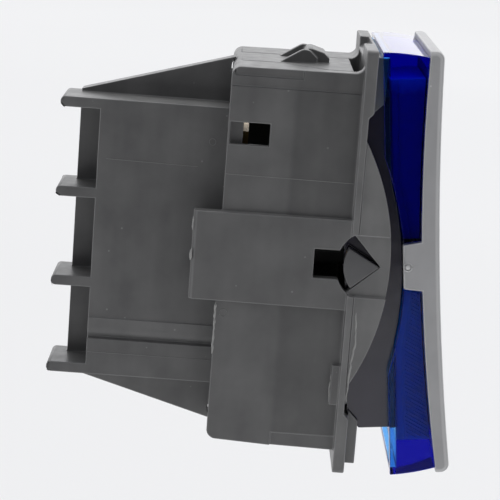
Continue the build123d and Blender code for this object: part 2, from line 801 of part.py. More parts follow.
def cable_ledge():
    """The thin ledge low on each long side of the block."""
    face = block_half_width
    inner = face - cable_ledge_depth
    high = cable_ledge_top
    low = high - cable_ledge_height
    outline = Polyline((inner, high), (face + cable_ledge_depth, high), (face, low), (inner, low), close=True)
    return both_sides(along_y(make_face(outline), base_rear, block_rear))


def cable_hollow():
    """The rounded hollow that runs under the ledge."""
    face = block_half_width
    high = cable_ledge_top - cable_ledge_height
    low = high - cable_hollow_height
    floor = face - cable_hollow_depth
    lip = low - cable_hollow_lip
    edges = [TangentArc((face, high), (floor, low), tangent=(0, -1)), Line((floor, low), (face, lip)),
             Line((face, lip), (face + 1, lip)), Line((face + 1, lip), (face + 1, high)),
             Line((face + 1, high), (face, high))]
    return both_sides(along_y(make_face(Wire(edges)), base_rear, block_rear + 1))


def terminal_chamber(height):
    """The room for one terminal cage, with its wire holes, its screw hole and the screw head's well."""
    near = cage_near - chamber_clearance
    far = cage_far + chamber_clearance
    room = box_between(near, far, base_front - 1, chamber_rear, height - chamber_half_height,
                       height + chamber_half_height)
    shank = rod_x(shank_hole_radius, far - 0.1, well_bottom + 0.1, screw_y, height)
    well = rod_x(screw_head_radius + well_clearance, well_bottom, block_half_width + 1, screw_y, height)
    cut = room + shank + well
    for offset in (-wire_hole_spacing / 2, wire_hole_spacing / 2):
        hole = rod_y(wire_hole_radius, chamber_rear - 0.1, block_rear + 0.1, wire_hole_x, height + offset)
        funnel = Rot(-90, 0, 0) * Cone(wire_hole_radius, wire_funnel_radius, wire_funnel_depth)
        funnel = Pos(wire_hole_x, block_rear - wire_funnel_depth / 2, height + offset) * funnel
        cut = cut + hole + funnel
    return cut


def terminal_block():
    base = box_between(-base_half_width, base_half_width, base_front, base_rear,
                       -base_half_height, base_half_height)
    body = box_between(-block_half_width, block_half_width, base_front, block_rear,
                       -block_half_height, block_half_height)
    block = base + body + cable_ledge() - cable_hollow() + gusset_wall() + block_fins()
    for height in terminals.values():
        block = block - terminal_chamber(height)
    return block


def terminal_cage(height):
    """A square brass sleeve round the strip's tail and the clamp plate; one wall carries the screw."""
    half = chamber_half_height - chamber_clearance
    cage = box_between(cage_near, cage_far, cage_front, cage_rear, height - half, height + half)
    inner = half - cage_end_wall
    cage = cage - box_between(cage_near + cage_wall, nut_near, cage_front - 1, cage_rear + 1,
                              height - inner, height + inner)
    return cage - rod_x(screw_radius + screw_clearance, nut_near - 1, cage_far + 1, screw_y, height)


def clamp_plate(height):
    half = chamber_half_height - chamber_clearance - cage_end_wall - plate_side_gap
    plate = box_between(plate_near, plate_far, cage_front + plate_end_gap, cage_rear - plate_end_gap,
                        height - half, height + half)
    return chamfer(plate.edges().filter_by(Axis.Z).group_by(Axis.X)[0], plate_edge)


def terminal_screw(height):
    """A screw across the wires, drawn without its thread, with a slot and a cross arm in its head."""
    head_top = head_under + screw_head_height
    shank = rod_x(screw_radius, nut_near, (head_under + head_top) / 2, screw_y, height)
    head = rod_x(screw_head_radius, head_under, head_top, screw_y, height)
    head = chamfer(head.edges().filter_by(GeomType.CIRCLE).group_by(Axis.X)[-1], screw_edge)
    half = screw_slot_width / 2
    floor = head_top - screw_slot_depth
    slot = box_between(floor, head_top + 1, screw_y - half, screw_y + half,
                       height - screw_head_radius - 1, height + screw_head_radius + 1)
    arm = box_between(floor, head_top + 1, screw_y - screw_cross_length / 2, screw_y + screw_cross_length / 2,
                      height - half, height + half)
    return shank + head - slot - arm


def build():
    """Every piece of the mechanism, by the name of its node."""
    pieces = {
        "front_housing": front_housing(),
        "terminal_block": terminal_block(),
        "rocker_carrier": rocker_carrier(),
        "light_lens": light_lens(),
        "key_cover": key_cover(),
        "plunger": plunger(),
        "plunger_spring": plunger_spring(),
        "contact_blade": contact_blade(),
        "common_strip": common_strip(),
    }
    for name, side in (("upper", 1), ("lower", -1)):
        pieces[f"moving_contact_{name}"] = moving_contact(side)
        pieces[f"fixed_contact_{name}"] = fixed_contact(side)
        pieces[f"traveller_strip_{name}"] = traveller_strip(side)
    for name, height in terminals.items():
        pieces[f"terminal_cage_{name}"] = terminal_cage(height)
        pieces[f"clamp_plate_{name}"] = clamp_plate(height)
        pieces[f"terminal_screw_{name}"] = terminal_screw(height)
    return pieces


os.makedirs("parts", exist_ok=True)
for node, piece in build().items():
    export_step(piece, f"parts/{node}.step")
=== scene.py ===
import json
import math
import random

import bmesh
import bpy
import numpy as np
from mathutils import Matrix, Vector
from mathutils.bvhtree import BVHTree


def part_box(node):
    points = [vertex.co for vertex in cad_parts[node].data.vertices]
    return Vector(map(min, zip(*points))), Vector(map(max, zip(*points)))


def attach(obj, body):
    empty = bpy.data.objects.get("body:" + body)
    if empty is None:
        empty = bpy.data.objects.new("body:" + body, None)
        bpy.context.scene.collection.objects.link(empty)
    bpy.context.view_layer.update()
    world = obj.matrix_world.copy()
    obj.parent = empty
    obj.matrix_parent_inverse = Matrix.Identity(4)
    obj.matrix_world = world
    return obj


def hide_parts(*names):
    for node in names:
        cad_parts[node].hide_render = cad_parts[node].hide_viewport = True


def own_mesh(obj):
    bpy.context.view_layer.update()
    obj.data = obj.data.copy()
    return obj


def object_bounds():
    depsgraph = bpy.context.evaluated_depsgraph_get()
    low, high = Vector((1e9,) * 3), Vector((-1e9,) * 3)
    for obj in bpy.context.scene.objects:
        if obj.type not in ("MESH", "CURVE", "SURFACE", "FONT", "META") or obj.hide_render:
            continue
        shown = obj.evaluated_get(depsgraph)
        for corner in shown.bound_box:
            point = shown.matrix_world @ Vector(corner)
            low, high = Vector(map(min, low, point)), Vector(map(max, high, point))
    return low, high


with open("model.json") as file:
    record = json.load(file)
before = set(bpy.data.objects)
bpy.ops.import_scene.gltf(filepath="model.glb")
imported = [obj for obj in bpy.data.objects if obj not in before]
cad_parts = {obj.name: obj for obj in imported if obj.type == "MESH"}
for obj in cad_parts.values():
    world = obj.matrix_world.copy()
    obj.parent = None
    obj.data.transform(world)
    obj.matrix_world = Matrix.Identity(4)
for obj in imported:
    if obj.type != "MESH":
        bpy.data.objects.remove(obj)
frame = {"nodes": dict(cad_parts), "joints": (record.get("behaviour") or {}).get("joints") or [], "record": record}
cad_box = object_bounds()

MM = 0.001
CHANCE = random.Random(7)
SCENE = bpy.context.scene
SCENE.view_settings.view_transform = "Standard"


def link(thing):
    SCENE.collection.objects.link(thing)
    return thing


# ---------------------------------------------------------------- camera

CAMERA_PLACE = Vector((-221.07, 12.81, 43.58)) * MM
CAMERA_FORWARD = Vector((0.97994, -0.01121, -0.19897))
CAMERA_RIGHT = Vector((0.00341, -0.99733, 0.07296))
CAMERA_LENS = 148.75
CAMERA_SENSOR = 36.0


def add_camera():
    """The camera looks along the pivot axis, a little from above."""
    data = bpy.data.cameras.new("camera")
    data.sensor_width = CAMERA_SENSOR
    data.lens = CAMERA_LENS
    camera = link(bpy.data.objects.new("camera", data))
    back = -CAMERA_FORWARD.normalized()
    right = CAMERA_RIGHT.normalized()
    up = back.cross(right).normalized()
    turn = Matrix((right, up, back)).transposed().to_4x4()
    camera.matrix_world = Matrix.Translation(CAMERA_PLACE) @ turn
    SCENE.camera = camera


# ---------------------------------------------------------------- material nodes

def new_material(name):
    made = bpy.data.materials.new(name)
    made.use_nodes = True
    return made, made.node_tree, made.node_tree.nodes["Principled BSDF"]


def add_node(tree, kind, inputs=(), **settings):
    made = tree.nodes.new(kind)
    for key, value in settings.items():
        setattr(made, key, value)
    for key, value in dict(inputs).items():
        made.inputs[key].default_value = value
    return made


def feed(tree, socket, value):
    """Links an output to a socket, or sets a constant on it."""
    if isinstance(value, bpy.types.NodeSocket):
        tree.links.new(value, socket)
    else:
        socket.default_value = value


def object_place(tree, scale=(1, 1, 1)):
    """Where a point is on the object, in metres, stretched by scale."""
    coords = add_node(tree, "ShaderNodeTexCoord")
    mapping = add_node(tree, "ShaderNodeMapping", {"Scale": scale})
    tree.links.new(coords.outputs["Object"], mapping.inputs["Vector"])
    return mapping.outputs["Vector"]


def axes(tree, place):
    """The X, Y and Z of a place."""
    split = add_node(tree, "ShaderNodeSeparateXYZ")
    tree.links.new(place, split.inputs[0])
    return split.outputs


def noise(tree, place, scale, detail=2.0, roughness=0.5):
    inputs = {"Scale": scale, "Detail": detail, "Roughness": roughness}
    made = add_node(tree, "ShaderNodeTexNoise", inputs)
    tree.links.new(place, made.inputs["Vector"])
    return made.outputs["Fac"]


def grey(level):
    return (level, level, level)


def ramp(tree, value, stops):
    """A colour for each value from 0 to 1, from stops of (place, colour)."""
    made = add_node(tree, "ShaderNodeValToRGB")
    band = made.color_ramp
    while len(band.elements) < len(stops):
        band.elements.new(0.5)
    for element, (place, colour) in zip(band.elements, stops):
        element.position = place
        element.color = (*colour, 1)
    tree.links.new(value, made.inputs["Fac"])
    return made.outputs["Color"]


def math_node(tree, operation, *values, use_clamp=False):
    made = add_node(tree, "ShaderNodeMath", operation=operation, use_clamp=use_clamp)
    for socket, value in zip(made.inputs, values):
        feed(tree, socket, value)
    return made.outputs["Value"]


def step_up(tree, value, start, end, shape="SMOOTHSTEP"):
    """0 below start and 1 above end, both in mm; value is in metres."""
    inputs = {"From Min": start * MM, "From Max": end * MM}
    made = add_node(tree, "ShaderNodeMapRange", inputs, interpolation_type=shape)
    tree.links.new(value, made.inputs["Value"])
    return made.outputs["Result"]


def mixed(tree, factor, a, b, blend="MIX"):
    """Mixes the output a with b, which is an output or a colour, by factor."""
    made = add_node(tree, "ShaderNodeMix", data_type="RGBA", blend_type=blend)
    feed(tree, made.inputs[0], factor)
    feed(tree, made.inputs[6], a)
    feed(tree, made.inputs[7], b if isinstance(b, bpy.types.NodeSocket) else (*b, 1))
    return made.outputs[2]


def bumped(tree, height, strength, distance, onto=None):
    made = add_node(tree, "ShaderNodeBump", {"Strength": strength, "Distance": distance})
    tree.links.new(height, made.inputs["Height"])
    if onto is not None:
        tree.links.new(onto, made.inputs["Normal"])
    return made.outputs["Normal"]


# ---------------------------------------------------------------- floor and light

FLOOR_DROP = 60 * MM
FLOOR_HALF = 4.0
FLOOR_EDGE = -0.40            # where the floor begins, on the camera's side
SUN_STRENGTH = 1.45
SUN_TOWARD = (-0.3, 0.1, -1.0)
SUN_ANGLE = 50
ROOM_STRENGTH = 2.2
ROOM = [(0.0, (0.025, 0.025, 0.028)), (0.05, (0.05, 0.05, 0.053)), (0.2, (0.17, 0.172, 0.18)),
        (0.5, (0.25, 0.252, 0.26)), (0.8, (0.32, 0.322, 0.33)), (0.93, (0.56, 0.565, 0.58)),
        (1.0, (0.66, 0.66, 0.67))]


def add_sun():
    """One broad overhead light."""
    data = bpy.data.lights.new("overhead", "SUN")
    data.energy = SUN_STRENGTH
    data.angle = math.radians(SUN_ANGLE)
    light = link(bpy.data.objects.new("overhead", data))
    light.rotation_euler = Vector(SUN_TOWARD).to_track_quat("-Z", "Y").to_euler()


def floor_paint():
    made, tree, shader = new_material("floor_paint")
    clouds = noise(tree, object_place(tree), 1.5, 2.0)
    tone = ramp(tree, clouds, [(0.3, grey(0.84)), (0.7, grey(0.87))])
    tree.links.new(tone, shader.inputs["Base Color"])
    shader.inputs["Roughness"].default_value = 0.9
    return made


def add_floor():
    bm = bmesh.new()
    bmesh.ops.create_grid(bm, x_segments=1, y_segments=1, size=FLOOR_HALF)
    bmesh.ops.translate(bm, verts=bm.verts, vec=(FLOOR_HALF + FLOOR_EDGE, 0, 0))
    mesh = bpy.data.meshes.new("floor")
    bm.to_mesh(mesh)
    bm.free()
    floor = link(bpy.data.objects.new("floor", mesh))
    floor.location = (0, 0, cad_box[0][2] - FLOOR_DROP)
    mesh.materials.append(floor_paint())


def add_world():
    """A studio that brightens from a dim room on the camera's side to the wall behind the part."""
    world = bpy.data.worlds.new("world")
    SCENE.world = world
    world.use_nodes = True
    tree = world.node_tree
    shade = tree.nodes["Background"]
    across = axes(tree, add_node(tree, "ShaderNodeTexCoord").outputs["Generated"])["X"]
    depth = math_node(tree, "MULTIPLY_ADD", across, 0.5, 0.5)
    tree.links.new(ramp(tree, depth, ROOM), shade.inputs["Color"])
    shade.inputs["Strength"].default_value = ROOM_STRENGTH


# ---------------------------------------------------------------- plastics and metals

BAND_SHARE = 0.35             # of the drawn bands in a moulded plastic's tone
DUST_SHARE = 0.35
DUST_GAIN = 2.6               # how much paler dust is than the plastic
EDGE_HIGHLIGHT_SHARE = 0.8              # of the painted highlight colour on the roundings


def moulded(name, dark, light, edge, roughness=(0.34, 0.46), grain=0.25, ior=1.5):
    """A satin moulded plastic: cloudy flow marks, faint drawn bands, fine grain, dust, and a painted highlight on
    the edge roundings.
    """
    made, tree, shader = new_material(name)
    place = object_place(tree)
    clouds = noise(tree, place, 190, 3.0, 0.55)
    bands = noise(tree, object_place(tree, (1, 1, 0.12)), 420, 2.0)
    tone = math_node(tree, "ADD", math_node(tree, "MULTIPLY", clouds, 1 - BAND_SHARE),
                     math_node(tree, "MULTIPLY", bands, BAND_SHARE))
    colour = ramp(tree, tone, [(0.34, dark), (0.66, light)])
    dust = add_node(tree, "ShaderNodeTexVoronoi", {"Scale": 420.0, "Randomness": 1.0})
    tree.links.new(place, dust.inputs["Vector"])
    specks = ramp(tree, dust.outputs["Distance"], [(0.030, grey(1)), (0.055, grey(0))])
    dusty = tuple(min(1, DUST_GAIN * channel) for channel in light)
    colour = mixed(tree, math_node(tree, "MULTIPLY", specks, DUST_SHARE), colour, dusty)
    # painted highlight: the edge value mixes in the paler edge colour on the roundings and on the small pieces
    # drawn here
    edges = add_node(tree, "ShaderNodeAttribute", attribute_name="edge")
    highlight_share = math_node(tree, "MULTIPLY", edges.outputs["Fac"], EDGE_HIGHLIGHT_SHARE)
    tree.links.new(mixed(tree, highlight_share, colour, edge), shader.inputs["Base Color"])
    patches = noise(tree, place, 700, 3.0)
    gloss = ramp(tree, patches, [(0.3, grey(roughness[0])), (0.7, grey(roughness[1]))])
    tree.links.new(gloss, shader.inputs["Roughness"])
    normal = bumped(tree, noise(tree, place, 300, 2.0), 0.25, 60e-6)
    fine = noise(tree, place, 7500, 3.0, 0.6)
    tree.links.new(bumped(tree, fine, grain, 14e-6, normal), shader.inputs["Normal"])
    shader.inputs["IOR"].default_value = ior
    return made


TRUNNION_END = (9.8, 10.4)    # from the middle plane, in mm
TRUNNION_TONE = (0.115, 0.115, 0.118)


def pale_ends(made):
    """Turns the carrier's paint paler at the ends of its trunnions."""
    tree = made.node_tree
    base = tree.nodes["Principled BSDF"].inputs["Base Color"]
    reach = math_node(tree, "ABSOLUTE", axes(tree, object_place(tree))["X"])
    share = step_up(tree, reach, *TRUNNION_END, shape="LINEAR")
    tree.links.new(mixed(tree, share, base.links[0].from_socket, TRUNNION_TONE), base)


# Each pair of places is in mm, and a tone changes between them.
FLANGE_LIGHT_GAIN = 1.30            # how much paler the flange and cheeks are painted, as painted light
FLANGE_REAR = (0.0, 0.3)
FRONT_HALF_SHADE = 0.22        # how much darker the front half of the casing's side faces is painted, as painted shade
FRONT_HALF_START = (0.1, 0.4)
FRONT_HALF_END = (6.4, 7.2)
CASING_SIDE = (10.2, 10.35)
STRAP_SIDE = (10.6, 10.8)


def painted_shade_and_light(made):
    """Painted shade and light: the front half of the casing's sides is painted a little darker, and the flange and
    cheeks paler.
    """
    tree = made.node_tree
    base = tree.nodes["Principled BSDF"].inputs["Base Color"]
    place = axes(tree, object_place(tree))
    depth, reach = place["Y"], math_node(tree, "ABSOLUTE", place["X"])
    band = math_node(tree, "SUBTRACT", step_up(tree, depth, *FRONT_HALF_START),
                     step_up(tree, depth, *FRONT_HALF_END))
    band = math_node(tree, "MULTIPLY", band, step_up(tree, reach, *CASING_SIDE))
    band = math_node(tree, "SUBTRACT", band, step_up(tree, reach, *STRAP_SIDE), use_clamp=True)
    behind = math_node(tree, "MULTIPLY", step_up(tree, depth, *FLANGE_REAR), FLANGE_LIGHT_GAIN - 1)
    paler = math_node(tree, "SUBTRACT", FLANGE_LIGHT_GAIN, behind)
    darker = math_node(tree, "MULTIPLY", band, FRONT_HALF_SHADE)
    factor = math_node(tree, "SUBTRACT", paler, darker)
    tone = add_node(tree, "ShaderNodeCombineXYZ")
    for socket in tone.inputs:
        tree.links.new(factor, socket)
    tree.links.new(mixed(tree, 1.0, base.links[0].from_socket, tone.outputs[0], "MULTIPLY"), base)


def clear_blue(name):
    """Clear blue plastic: light is coloured by the length of its path inside."""
    made, tree, shader = new_material(name)
    place = object_place(tree)
    clouds = noise(tree, place, 260, 2.0)
    tint = ramp(tree, clouds, [(0.3, (0.56, 0.79, 1.0)), (0.7, (0.66, 0.85, 1.0))])
    tree.links.new(tint, shader.inputs["Base Color"])
    gloss = ramp(tree, noise(tree, place, 900, 2.0), [(0.3, grey(0.03)), (0.7, grey(0.07))])
    tree.links.new(gloss, shader.inputs["Roughness"])
    waves = bumped(tree, noise(tree, place, 450, 2.0), 0.12, 30e-6)
    tree.links.new(waves, shader.inputs["Normal"])
    shader.inputs["Transmission Weight"].default_value = 1.0
    shader.inputs["IOR"].default_value = 1.49
    shader.inputs["Specular Tint"].default_value = (0.33, 0.33, 0.33, 1.0)
    absorbing = {"Color": (0.0, 0.60, 0.950, 1.0), "Density": 1400.0}
    body = add_node(tree, "ShaderNodeVolumeAbsorption", absorbing)
    tree.links.new(body.outputs["Volume"], tree.nodes["Material Output"].inputs["Volume"])
    return made


GUIDE_TONE_SPAN = 40 * MM     # the height that the tones below are spread over
# Painted light and shade: the paler tones low down stand in for light caught from below, and the pale band at the
# top for light on the top face.
GUIDE_TONES = [(0.40, (0.40, 0.98, 0.90)), (0.50, (0.3, 0.50, 0.65)), (0.55, (0.10, 0.03, 0.50)),
               (0.95, (0.10, 0.03, 0.50)), (0.985, (0.2, 0.35, 1.0))]


def guide_blue():
    """The matt paint of the lens's light guides, with painted light and shade: pale green-blue below, deep blue
    above, and a paler band at the very top.
    """
    made, tree, shader = new_material("guide_blue")
    place = object_place(tree)
    height = math_node(tree, "MULTIPLY_ADD", axes(tree, place)["Z"], 1 / GUIDE_TONE_SPAN, 0.5)
    cloud = math_node(tree, "MULTIPLY_ADD", noise(tree, place, 300, 3.0), 0.06, -0.03)
    tone = math_node(tree, "ADD", height, cloud)
    tree.links.new(ramp(tree, tone, GUIDE_TONES), shader.inputs["Base Color"])
    shader.inputs["Roughness"].default_value = 0.8
    return made


def metal(name, dark, light, roughness, scale=(1, 1, 1)):
    """Plated metal with fine drawn lines along the stretched direction."""
    made, tree, shader = new_material(name)
    lines = noise(tree, object_place(tree, scale), 3000, 3.0)
    clouds = noise(tree, object_place(tree), 300, 2.0)
    tone = math_node(tree, "MULTIPLY", math_node(tree, "ADD", lines, clouds), 0.5)
    tree.links.new(ramp(tree, tone, [(0.3, dark), (0.7, light)]), shader.inputs["Base Color"])
    gloss = ramp(tree, tone, [(0.3, grey(roughness[0])), (0.7, grey(roughness[1]))])
    tree.links.new(gloss, shader.inputs["Roughness"])
    tree.links.new(bumped(tree, lines, 0.2, 8e-6), shader.inputs["Normal"])
    shader.inputs["Metallic"].default_value = 1.0
    return made


# The fourth colour of each moulded paint is its painted highlight on the edge roundings.
PAINTS = {
    "housing_grey": moulded("housing_grey", (0.115, 0.115, 0.115), (0.170, 0.170, 0.168), grey(0.20)),
    "carrier_dark": moulded("carrier_dark", (0.021, 0.018, 0.036), (0.029, 0.025, 0.046),
                            (0.08, 0.08, 0.09), (0.10, 0.16), 0.06, ior=1.62),
    "key_silver": moulded("key_silver", (0.42, 0.42, 0.425), (0.50, 0.50, 0.505), grey(0.6)),
    "plunger_white": moulded("plunger_white", (0.55, 0.55, 0.52), (0.62, 0.62, 0.60), (0.7, 0.7, 0.68)),
    "lens_blue": clear_blue("lens_blue"),
    "contact_brass": metal("contact_brass", (0.50, 0.34, 0.12), (0.66, 0.47, 0.20), (0.22, 0.34),
                           (1, 1, 0.05)),
    "contact_silver": metal("contact_silver", (0.36, 0.35, 0.33), (0.48, 0.47, 0.44), (0.38, 0.52)),
    "screw_steel": metal("screw_steel", (0.42, 0.42, 0.40), (0.58, 0.58, 0.56), (0.25, 0.4),
                         (0.05, 1, 1)),
    "spring_steel": metal("spring_steel", (0.38, 0.38, 0.39), (0.52, 0.52, 0.53), (0.25, 0.38)),
}
painted_shade_and_light(PAINTS["housing_grey"])
pale_ends(PAINTS["carrier_dark"])

# The pips are the key's plastic; their paler colour is a painted highlight, their low roughness is real gloss.
PIP_HIGHLIGHT_PAINT = moulded("key_pip_highlight", grey(0.62), grey(0.72), grey(0.8), (0.06, 0.10), 0.05)
LINE_PAINT = moulded("housing_line", (0.20, 0.20, 0.198), (0.26, 0.26, 0.257), (0.26, 0.26, 0.257))
FLASH_PAINT = moulded("housing_flash", (0.28, 0.28, 0.275), (0.38, 0.38, 0.37), (0.40, 0.40, 0.39))


# ---------------------------------------------------------------- pieces from the frame

SAME_PLACE = 2e-6             # corners closer than this are one, in metres
FLAT_ANGLE = 0.3              # faces that meet at less are one, in degrees
SHARP_ANGLE = 35              # edges that turn more are rounded, in degrees
MADE_EDGE = 0.6               # the edge value of the pieces drawn here, which gives them part of the painted highlight colour


def joint(name):
    return next(row for row in frame["joints"] if row["name"] == name)


def clean_copy(node, merged):
    """The node's mesh; if merged, its triangles are joined back into whole faces."""
    bm = bmesh.new()
    bm.from_mesh(frame["nodes"][node].data)
    bmesh.ops.remove_doubles(bm, verts=bm.verts, dist=SAME_PLACE)
    if merged:
        bmesh.ops.dissolve_limit(bm, angle_limit=math.radians(FLAT_ANGLE), verts=bm.verts,
                                 edges=bm.edges, delimit={"NORMAL"})
    mesh = bpy.data.meshes.new(node)
    bm.to_mesh(mesh)
    bm.free()
    return mesh


def mark_edges(mesh):
    """Moves the rounding's face index into an edge value that the paints read for their painted highlight."""
    faces = np.zeros(len(mesh.polygons), np.int32)
    mesh.polygons.foreach_get("material_index", faces)
    sizes = np.zeros(len(mesh.polygons), np.int32)
    mesh.polygons.foreach_get("loop_total", sizes)
    marks = mesh.attributes.new("edge", "FLOAT", "CORNER")
    marks.data.foreach_set("value", np.repeat(faces == 1, sizes).astype(np.float32))
    mesh.polygons.foreach_set("material_index", np.zeros(len(mesh.polygons), np.int32))


def rounded(node, body, slot, width=0.12, segments=2, merged=True):
    """A copy of a node with the small radii that a mould gives its edges.

    A node whose faces have paired round holes stays unmerged."""
    name = node + "_moulded"
    rough = link(bpy.data.objects.new(name, clean_copy(node, merged)))
    for _ in range(2):
        rough.data.materials.append(PAINTS[slot])
    for face in rough.data.polygons:
        face.use_smooth = True
    bevel = rough.modifiers.new("bevel", "BEVEL")
    bevel.width = width * MM
    bevel.segments = segments
    bevel.limit_method = "ANGLE"
    bevel.angle_limit = math.radians(SHARP_ANGLE)
    bevel.use_clamp_overlap = False
    bevel.material = 1
    weights = rough.modifiers.new("weights", "WEIGHTED_NORMAL")
    weights.mode = "FACE_AREA"
    graph = bpy.context.evaluated_depsgraph_get()
    mesh = bpy.data.meshes.new_from_object(rough.evaluated_get(graph))
    bpy.data.objects.remove(rough)
    mark_edges(mesh)
    mesh.materials.clear()
    mesh.materials.append(PAINTS[slot])
    piece = link(bpy.data.objects.new(name, mesh))
    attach(piece, body)
    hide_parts(node)


def sprung(node, body, slot):
    """A copy of a coil spring with a mesh of its own, riding with its body."""
    mesh = frame["nodes"][node].data.copy()
    mesh.materials.clear()
    mesh.materials.append(PAINTS[slot])
    piece = link(bpy.data.objects.new(node + "_flexing", mesh))
    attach(piece, body)
    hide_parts(node)
    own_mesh(piece)


def keep(bm, name, body, paint, place=Matrix.Scale(MM, 4)):
    """Makes a piece of what was drawn in mm; place turns that into metres at rest."""
    bmesh.ops.transform(bm, matrix=place, verts=bm.verts)
    bmesh.ops.recalc_face_normals(bm, faces=bm.faces)
    mesh = bpy.data.meshes.new(name)
    bm.to_mesh(mesh)
    bm.free()
    edge = mesh.attributes.new("edge", "FLOAT", "POINT")
    edge.data.foreach_set("value", [MADE_EDGE] * len(mesh.vertices))
    mesh.materials.append(paint)
    piece = link(bpy.data.objects.new(name, mesh))
    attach(piece, body)


# ---------------------------------------------------------------- drawing in mm

SINK = 0.02                   # how deep a mark starts below the face it stands on
RIDGE_SHOULDER = 1 / 3        # where a ridge's top starts and ends, as a share of its width
LINE_SHOULDER = 1 / 4


def skin(bm, rings, closed=False):
    """Joins rings of corners with four-sided faces, and closes the row into a loop or caps its ends."""
    for before, after in zip(rings, rings[1:] + rings[:1] if closed else rings[1:]):
        for i in range(len(before)):
            j = (i + 1) % len(before)
            bm.faces.new((before[i], before[j], after[j], after[i]))
    if not closed:
        bm.faces.new(rings[0][::-1])
        bm.faces.new(rings[-1])


def add_box(bm, start, end):
    """A box between two ends of four corners each, in the same order."""
    skin(bm, [[bm.verts.new(corner) for corner in ring] for ring in (start, end)])


def roof(x0, x1, y, z, width, along, shoulder=RIDGE_SHOULDER):
    """Four corners across a ridge: its foot at x0, its narrower top at x1, its width along y or z."""
    steps = (x0, 0), (x1, width * shoulder), (x1, width * (1 - shoulder)), (x0, width)
    return [(x, y + step, z) if along == "y" else (x, y, z + step) for x, step in steps]


def ridge(bm, x, height, start, end, width):
    """A small ridge on a face that looks along X, between two places given as (y, z)."""
    x0 = x - math.copysign(SINK, x)
    x1 = x + math.copysign(height, x)
    add_box(bm, *(roof(x0, x1, *place, width, "z") for place in (start, end)))


# ---------------------------------------------------------------- light guides inside the lens

GUIDE_X = 8.75                # from the middle plane
GUIDE_END_GAPS = (3.0, 3.4)   # below the lens's upper end and above its lower end
GUIDE_LUG_GAP = 2.75          # from the middle of the key's lug to each block
GUIDE_INSET = 0.12
GUIDE_STEP = 0.6
LINE_WIDTH = 0.12             # of the line behind the ribs
LINE_HEIGHT = 0.30
LINE_STEP = 1.0
LINE_OFFSET = 0.1             # behind the ribs' rear ends
LINE_MARGIN = 0.05            # to the block's ends
RIB_PITCH = 0.42
RIB_WIDTH = 0.18
RIB_HEIGHT = 0.35
RIB_RISE = 0.62               # how steeply the ribs climb towards the rear
RIB_REAR_GAP = 0.90
RIB_STEP = 0.15               # between the places tried along a rib
RIB_TRIES = 41
RIB_BELOW = 5                 # how far below its block the first rib starts
RIB_MARGIN = 0.1              # to the block's lower end and front face
RIB_TOP_MARGIN = 0.2


def rocker_level():
    """Turns a place at rest, in metres, into the place it has with the rocker level, in mm."""
    row = joint("rocker_pivot")
    pivot = Vector(row["pos_m"])
    turn = Matrix.Rotation(math.radians(row["range_deg"][1]) / 2, 4, "X")
    return Matrix.Scale(1 / MM, 4) @ Matrix.Translation(pivot) @ turn @ Matrix.Translation(-pivot)


def guide_span(tree, z):
    """Where a guide's rear and front faces lie at a height, just inside the lens."""
    rear = tree.ray_cast(Vector((GUIDE_X, 20, z)), Vector((0, -1, 0)))[0]
    front = tree.ray_cast(Vector((GUIDE_X, -20, z)), Vector((0, 1, 0)))[0]
    return rear.y - GUIDE_INSET, front.y + GUIDE_INSET


def guide_block(bm, tree, low, high):
    """A block that follows the lens's outline between two heights."""
    steps = max(2, round((high - low) / GUIDE_STEP))
    rings = []
    for i in range(steps + 1):
        z = low + (high - low) * i / steps
        rear, front = guide_span(tree, z)
        corners = (-GUIDE_X, rear), (GUIDE_X, rear), (GUIDE_X, front), (-GUIDE_X, front)
        rings.append([bm.verts.new((x, y, z)) for x, y in corners])
    skin(bm, rings)


def guide_ribs(bm, tree, side, low, high):
    """Fine slanting ribs from the front face back to the line that follows the rear face."""
    for k in range(int((high - low + RIB_BELOW + 1) / RIB_PITCH)):
        start = low - RIB_BELOW + k * RIB_PITCH
        front_y = guide_span(tree, min(max(start, low), high))[1]
        inside = []
        for i in range(RIB_TRIES):
            y, z = front_y + RIB_STEP * i, start + RIB_RISE * RIB_STEP * i
            if low + RIB_MARGIN < z < high - RIB_TOP_MARGIN:
                rear, front = guide_span(tree, z)
                if front + RIB_MARGIN < y < rear - RIB_REAR_GAP:
                    inside.append((y, z))
        if len(inside) > 2:
            ridge(bm, side * GUIDE_X, RIB_HEIGHT, inside[0], inside[-1], RIB_WIDTH)


def guide_line(bm, tree, side, low, high):
    """A thin line just behind the ribs' rear ends, along the block's side."""
    steps = max(2, round((high - low) / LINE_STEP))
    length = high - low - 2 * LINE_MARGIN
    places = [low + LINE_MARGIN + length * i / steps for i in range(steps + 1)]
    x0, x1 = side * (GUIDE_X - SINK), side * (GUIDE_X + LINE_HEIGHT)
    for ends in zip(places, places[1:]):
        add_box(bm, *(roof(x0, x1, guide_span(tree, z)[0] - RIB_REAR_GAP + LINE_OFFSET, z,
                           LINE_WIDTH, "y", LINE_SHOULDER) for z in ends))


def light_guides():
    """Two blocks inside the lens, above and below the key's lug; the lower one is ribbed on its sides."""
    level = rocker_level()
    lens = bmesh.new()
    lens.from_mesh(frame["nodes"]["light_lens"].data)
    bmesh.ops.transform(lens, matrix=level, verts=lens.verts)
    tree = BVHTree.FromBMesh(lens)
    heights = [vertex.co.z for vertex in lens.verts]
    lens.free()
    upper = GUIDE_LUG_GAP, max(heights) - GUIDE_END_GAPS[0]
    lower = min(heights) + GUIDE_END_GAPS[1], -GUIDE_LUG_GAP
    made = bmesh.new()
    for span in (upper, lower):
        guide_block(made, tree, *span)
        for side in (-1, 1):
            guide_line(made, tree, side, *span)
    for side in (-1, 1):
        guide_ribs(made, tree, side, *lower)
    keep(made, "light_guides", "rocker", guide_blue(), level.inverted())


# ---------------------------------------------------------------- pips and traces of moulding

PIP_OFFSET = 2.95             # in front of the pivot
PIP_HEIGHT = 0.12
PIP_RADII = (0.17, 0.30, 0.30)

